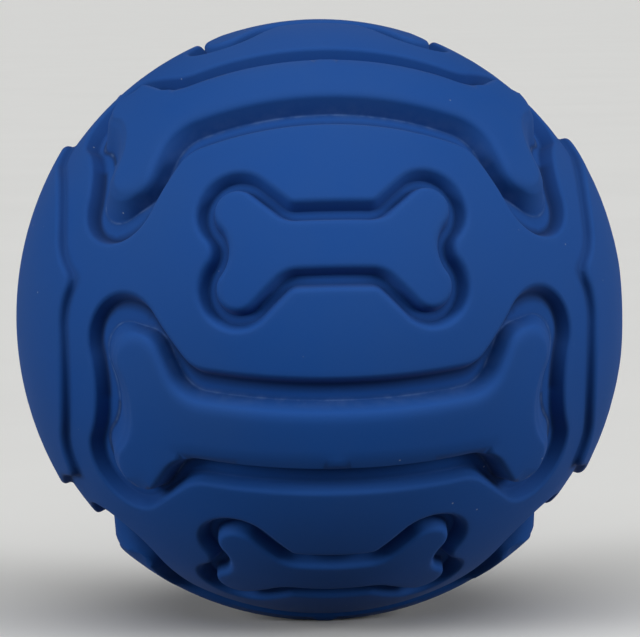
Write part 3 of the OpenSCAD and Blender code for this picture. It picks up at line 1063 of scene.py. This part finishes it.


# Natural rubber, compression moulded in a finely blasted mould: a deep blue with a soft, almost
# powdery matt face, a grey veil at grazing angles and dust that clings to it, with a painted highlight
# on rounded top edges and along the foot of each long bone, and painted shade at the foot of the walls
def rubber_material(finishes):
    material, tree, shader, places = new_material("natural rubber, moulded matt blue")
    bloom_size = 14 * MM
    grain_size = 0.3 * MM
    crease_break_size = 1.2 * MM
    speck_pitch = 3.2 * MM
    speck_edge = 0.13 * MM / speck_pitch
    speck_core = 0.4
    bloom = add_node(
        tree, "ShaderNodeTexNoise",
        inputs={"Vector": places, "Scale": 1 / bloom_size, "Detail": 4.0, "Roughness": 0.6},
    )
    bloom_part = add_node(
        tree, "ShaderNodeMapRange", inputs={"Value": bloom.outputs[0], 1: 0.35, 2: 0.75, 3: 0.0, 4: 0.22}
    )
    # Painted highlight: a paler blue along rounded top edges, added to the random bloom
    rim = add_node(tree, "ShaderNodeAttribute", {"attribute_name": "rim"})
    bloom_and_rim_highlight = add_node(
        tree, "ShaderNodeMath", {"operation": "MULTIPLY_ADD", "use_clamp": True},
        {0: rim.outputs["Fac"], 1: 0.06, 2: bloom_part.outputs[0]},
    )
    blue = add_node(
        tree, "ShaderNodeMix", {"data_type": "RGBA"},
        {0: bloom_and_rim_highlight.outputs[0], 6: finishes.rubber, 7: finishes.rubber_bloom_and_highlight},
    )
    # Painted shade: a darker blue at the foot of the walls
    foot = add_node(tree, "ShaderNodeAttribute", {"attribute_name": "foot"})
    shaded = add_node(
        tree, "ShaderNodeMix", {"data_type": "RGBA"},
        {0: foot.outputs["Fac"], 6: blue.outputs[2], 7: finishes.rubber_painted_shade},
    )
    # Painted highlight: a pale line along the foot of each long bone, broken up by noise
    crease = add_node(tree, "ShaderNodeAttribute", {"attribute_name": "crease"})
    crease_break = add_node(
        tree, "ShaderNodeTexNoise", inputs={"Vector": places, "Scale": 1 / crease_break_size, "Detail": 3.0}
    )
    crease_break_part = add_node(
        tree, "ShaderNodeMapRange", inputs={"Value": crease_break.outputs[0], 1: 0.4, 2: 0.65, 3: 0.05, 4: 0.32}
    )
    crease_part = add_node(
        tree, "ShaderNodeMath", {"operation": "MULTIPLY"}, {0: crease.outputs["Fac"], 1: crease_break_part.outputs[0]}
    )
    creased = add_node(
        tree, "ShaderNodeMix", {"data_type": "RGBA"},
        {0: crease_part.outputs[0], 6: shaded.outputs[2], 7: finishes.crease_highlight},
    )
    specks = add_node(tree, "ShaderNodeTexVoronoi", inputs={"Vector": places, "Scale": 1 / speck_pitch})
    speck_near = add_node(
        tree, "ShaderNodeMapRange",
        inputs={
            "Value": specks.outputs["Distance"], 1: speck_edge, 2: speck_core * speck_edge, 3: 0.0, 4: 0.6,
        },
    )
    speck_pick = add_node(tree, "ShaderNodeSeparateColor", inputs={0: specks.outputs["Color"]})
    picked = add_node(
        tree, "ShaderNodeMath", {"operation": "GREATER_THAN"}, {0: speck_pick.outputs[0], 1: 0.4}
    )
    speck_part = add_node(
        tree, "ShaderNodeMath", {"operation": "MULTIPLY"}, {0: speck_near.outputs[0], 1: picked.outputs[0]}
    )
    dusty = add_node(
        tree, "ShaderNodeMix", {"data_type": "RGBA"},
        {0: speck_part.outputs[0], 6: creased.outputs[2], 7: finishes.dust},
    )
    tree.links.new(dusty.outputs[2], shader.inputs["Base Color"])
    rough = add_node(
        tree, "ShaderNodeMapRange", inputs={"Value": bloom.outputs[0], 1: 0.3, 2: 0.7, 3: 0.72, 4: 0.86}
    )
    tree.links.new(rough.outputs[0], shader.inputs["Roughness"])
    grain = add_node(
        tree, "ShaderNodeTexNoise",
        inputs={"Vector": places, "Scale": 1 / grain_size, "Detail": 2.0, "Roughness": 0.5},
    )
    bump = add_node(
        tree, "ShaderNodeBump", inputs={"Height": grain.outputs[0], "Strength": 0.1, "Distance": 0.05 * MM}
    )
    tree.links.new(bump.outputs[0], shader.inputs["Normal"])
    shader.inputs["IOR"].default_value = 1.5
    shader.inputs["Specular IOR Level"].default_value = 0.17
    shader.inputs["Sheen Weight"].default_value = 0.06
    shader.inputs["Sheen Roughness"].default_value = 0.45
    shader.inputs["Sheen Tint"].default_value = linear("#C9D2E2")
    return material


# Polyethylene, injection moulded: milky white with a satin skin and faint flow marks
def barrel_material(finishes):
    material, tree, shader, places = new_material("polyethylene, moulded satin white")
    flow_size = 3 * MM
    skin_size = 0.25 * MM
    flow = add_node(
        tree, "ShaderNodeTexNoise", inputs={"Vector": places, "Scale": 1 / flow_size, "Detail": 3.0}
    )
    shade = add_node(
        tree, "ShaderNodeMapRange", inputs={"Value": flow.outputs[0], 1: 0.3, 2: 0.7, 3: 0.0, 4: 0.25}
    )
    white = add_node(
        tree, "ShaderNodeMix", {"data_type": "RGBA"},
        {0: shade.outputs[0], 6: finishes.barrel, 7: linear("#D3D0C4")},
    )
    tree.links.new(white.outputs[2], shader.inputs["Base Color"])
    gloss = add_node(
        tree, "ShaderNodeMapRange", inputs={"Value": flow.outputs[0], 1: 0.3, 2: 0.7, 3: 0.3, 4: 0.42}
    )
    tree.links.new(gloss.outputs[0], shader.inputs["Roughness"])
    skin = add_node(
        tree, "ShaderNodeTexNoise", inputs={"Vector": places, "Scale": 1 / skin_size, "Detail": 2.0}
    )
    bump = add_node(
        tree, "ShaderNodeBump", inputs={"Height": skin.outputs[0], "Strength": 0.1, "Distance": 0.03 * MM}
    )
    tree.links.new(bump.outputs[0], shader.inputs["Normal"])
    shader.inputs["IOR"].default_value = 1.51
    return material


# Polystyrene, injection moulded: light grey with a satin skin, a little uneven from the mould
def reed_block_material(finishes):
    material, tree, shader, places = new_material("polystyrene, moulded satin grey")
    mottle_size = 1.5 * MM
    mottle = add_node(
        tree, "ShaderNodeTexNoise", inputs={"Vector": places, "Scale": 1 / mottle_size, "Detail": 3.0}
    )
    grey = add_node(
        tree, "ShaderNodeMix", {"data_type": "RGBA"},
        {0: mottle.outputs[0], 6: finishes.reed_block, 7: linear("#A9ABAD")},
    )
    tree.links.new(grey.outputs[2], shader.inputs["Base Color"])
    gloss = add_node(
        tree, "ShaderNodeMapRange", inputs={"Value": mottle.outputs[0], 1: 0.3, 2: 0.7, 3: 0.34, 4: 0.46}
    )
    tree.links.new(gloss.outputs[0], shader.inputs["Roughness"])
    shader.inputs["IOR"].default_value = 1.59
    return material


# Polyester film, drawn and polished: straw coloured and glossy, with fine lines along the draw
def reed_film_material(finishes):
    material, tree, shader, places = new_material("polyester film, polished straw")
    line_pitch = 0.12 * MM
    stretch = add_node(tree, "ShaderNodeMapping", inputs={"Vector": places, "Scale": (0.05, 1.0, 1.0)})
    lines = add_node(
        tree, "ShaderNodeTexNoise",
        inputs={"Vector": stretch.outputs[0], "Scale": 1 / line_pitch, "Detail": 1.0},
    )
    straw = add_node(
        tree, "ShaderNodeMix", {"data_type": "RGBA"},
        {0: lines.outputs[0], 6: finishes.reed_film, 7: linear("#C3B27C")},
    )
    tree.links.new(straw.outputs[2], shader.inputs["Base Color"])
    bump = add_node(
        tree, "ShaderNodeBump", inputs={"Height": lines.outputs[0], "Strength": 0.08, "Distance": 0.01 * MM}
    )
    tree.links.new(bump.outputs[0], shader.inputs["Normal"])
    shader.inputs["Roughness"].default_value = 0.14
    shader.inputs["IOR"].default_value = 1.64
    return material


# Painted board, rolled matt: pale, with a barely visible unevenness of the paint
def floor_material(stage):
    material, tree, shader, places = new_material("painted board, matt pale")
    patch_size = 60 * MM
    patch = add_node(
        tree, "ShaderNodeTexNoise", inputs={"Vector": places, "Scale": 1 / patch_size, "Detail": 3.0}
    )
    part = add_node(
        tree, "ShaderNodeMapRange", inputs={"Value": patch.outputs[0], 1: 0.3, 2: 0.7, 3: 0.0, 4: 0.1}
    )
    paint = add_node(
        tree, "ShaderNodeMix", {"data_type": "RGBA"},
        {0: part.outputs[0], 6: stage.floor, 7: linear("#DEDEDC")},
    )
    tree.links.new(paint.outputs[2], shader.inputs["Base Color"])
    shader.inputs["Roughness"].default_value = 0.8
    shader.inputs["Specular IOR Level"].default_value = 0.1
    rays = add_node(tree, "ShaderNodeLightPath").outputs
    mirrored = add_node(
        tree, "ShaderNodeMath", {"operation": "MAXIMUM"},
        {0: rays["Is Glossy Ray"], 1: rays["Is Transmission Ray"]},
    )
    seen = add_node(
        tree, "ShaderNodeMath", {"operation": "MAXIMUM"}, {0: rays["Is Camera Ray"], 1: mirrored.outputs[0]}
    )
    dim = add_node(tree, "ShaderNodeBsdfDiffuse", inputs={"Color": (*[stage.bounce] * 3, 1.0)})
    surface = add_node(
        tree, "ShaderNodeMixShader", inputs={0: seen.outputs[0], 1: dim.outputs[0], 2: shader.outputs[0]}
    )
    tree.links.new(surface.outputs[0], tree.get_output_node("ALL").inputs["Surface"])
    return material


def direction_at(azimuth, elevation):
    """Direction from the ball at a turn from the front and a height, both angles."""
    level = math.cos(elevation)
    return Vector((math.sin(azimuth) * level, -math.cos(azimuth) * level, math.sin(elevation)))


def lay_floor(scene, stage):
    """Lays a pale disc under the ball."""
    floor = bpy.data.objects.new("pale_floor", bpy.data.meshes.new("pale_floor"))
    bm = bmesh.new()
    bmesh.ops.create_circle(bm, cap_ends=True, segments=FLOOR_SIDES, radius=FLOOR_R)
    bmesh.ops.translate(bm, verts=bm.verts, vec=(0.0, 0.0, BALL_LOW.z))
    bm.to_mesh(floor.data)
    bm.free()
    floor.data.materials.append(floor_material(stage))
    scene.collection.objects.link(floor)


def light_world(scene, stage):
    """Shows a pale backdrop to the camera and gives the ball a little light from all round."""
    scene.world = bpy.data.worlds.new("pale studio")
    scene.world.use_nodes = True
    tree = scene.world.node_tree
    tree.nodes.clear()
    rays = add_node(tree, "ShaderNodeLightPath").outputs
    seen = add_node(
        tree, "ShaderNodeMath", {"operation": "MAXIMUM"},
        {0: rays["Is Camera Ray"], 1: rays["Is Transmission Ray"]},
    )
    strength = add_node(
        tree, "ShaderNodeMapRange", inputs={"Value": seen.outputs[0], 3: stage.ambient, 4: 1.0}
    )
    backdrop = add_node(
        tree, "ShaderNodeBackground", inputs={"Color": stage.backdrop, "Strength": strength.outputs[0]}
    )
    add_node(tree, "ShaderNodeOutputWorld", inputs={"Surface": backdrop.outputs[0]})


def hang_softbox(scene, name, direction, spread, level):
    """Hangs a softbox in a direction, with its spread and its light on a white card that faces it."""
    softbox = bpy.data.lights.new(name, "SUN")
    softbox.angle = spread
    softbox.energy = math.pi * level
    holder = bpy.data.objects.new(name, softbox)
    holder.location = direction
    holder.rotation_euler = direction.to_track_quat("Z", "Y").to_euler()
    scene.collection.objects.link(holder)


def place_camera(scene, stage, radius):
    """Places the camera so that the ball fills the circle that it has in the photograph."""
    back = direction_at(stage.azimuth, stage.elevation)
    level = Vector((math.cos(stage.azimuth), math.sin(stage.azimuth), 0.0))
    upright = back.cross(level)
    right = level * math.cos(stage.roll) - upright * math.sin(stage.roll)
    up = level * math.sin(stage.roll) + upright * math.cos(stage.roll)
    turn = Matrix((right, up, back)).transposed().to_4x4()
    camera = bpy.data.objects.new("camera", bpy.data.cameras.new("camera"))
    camera.matrix_world = Matrix.Translation(back * stage.distance) @ turn
    focal_pixels = BALL_PIXELS * math.sqrt((stage.distance / radius) ** 2 - 1)
    camera.data.sensor_width = SENSOR_WIDTH
    camera.data.lens = focal_pixels / IMAGE_WIDTH * SENSOR_WIDTH
    camera.data.shift_x = (IMAGE_WIDTH / 2 - BALL_COLUMN) / IMAGE_WIDTH
    camera.data.shift_y = (BALL_ROW - IMAGE_HEIGHT / 2) / IMAGE_WIDTH
    camera.data.clip_start = NEAREST_SIGHT
    scene.collection.objects.link(camera)
    scene.camera = camera


class DOGBALL_OT_stage(bpy.types.Operator):
    """Set the floor, the lights and the camera"""

    bl_idname = "dog_ball.stage"
    bl_label = "Stage"

    def execute(self, context):
        scene = context.scene
        stage = scene.dog_ball.stage
        lay_floor(scene, stage)
        light_world(scene, stage)
        above = direction_at(0.0, stage.top_elevation)
        hang_softbox(scene, "top_softbox", above, stage.top_spread, stage.top_level)
        for name, azimuth in (("left_softbox", -stage.side_azimuth), ("right_softbox", stage.side_azimuth)):
            beside = direction_at(azimuth, stage.side_elevation)
            hang_softbox(scene, name, beside, stage.side_spread, stage.side_level)
        place_camera(scene, stage, scene.dog_ball.ball.radius)
        scene.view_settings.view_transform = "Standard"
        return {"FINISHED"}


class DOGBALL_PT_sidebar(bpy.types.Panel):
    """Buttons that build the ball and its stage"""

    bl_label = "Dog ball"
    bl_idname = "DOGBALL_PT_sidebar"
    bl_space_type = "VIEW_3D"
    bl_region_type = "UI"
    bl_category = "Dog ball"

    def draw(self, context):
        for operator in OPERATORS:
            self.layout.operator(operator.bl_idname)


OPERATORS = (
    DOGBALL_OT_rubber_shells,
    DOGBALL_OT_squeaker_barrel,
    DOGBALL_OT_reed_parts,
    DOGBALL_OT_stage,
)
CLASSES = (
    BallSizes, LongBoneSizes, RecessSizes, ShortBoneSizes, CapSizes, SeamSizes, SqueakerSizes,
    Finishes, StageSettings, DogBallSettings, *OPERATORS, DOGBALL_PT_sidebar,
)


def register():
    """Registers the classes and puts the settings on the scene."""
    for cls in CLASSES:
        bpy.utils.register_class(cls)
    bpy.types.Scene.dog_ball = PointerProperty(type=DogBallSettings)


def unregister():
    """Takes the settings off the scene and the classes away."""
    del bpy.types.Scene.dog_ball
    for cls in reversed(CLASSES):
        bpy.utils.unregister_class(cls)


def main():
    """Builds every piece in order."""
    register()
    bpy.ops.dog_ball.rubber_shells()
    bpy.ops.dog_ball.squeaker_barrel()
    bpy.ops.dog_ball.reed_parts()
    bpy.ops.dog_ball.stage()


if __name__ == "__main__":
    main()
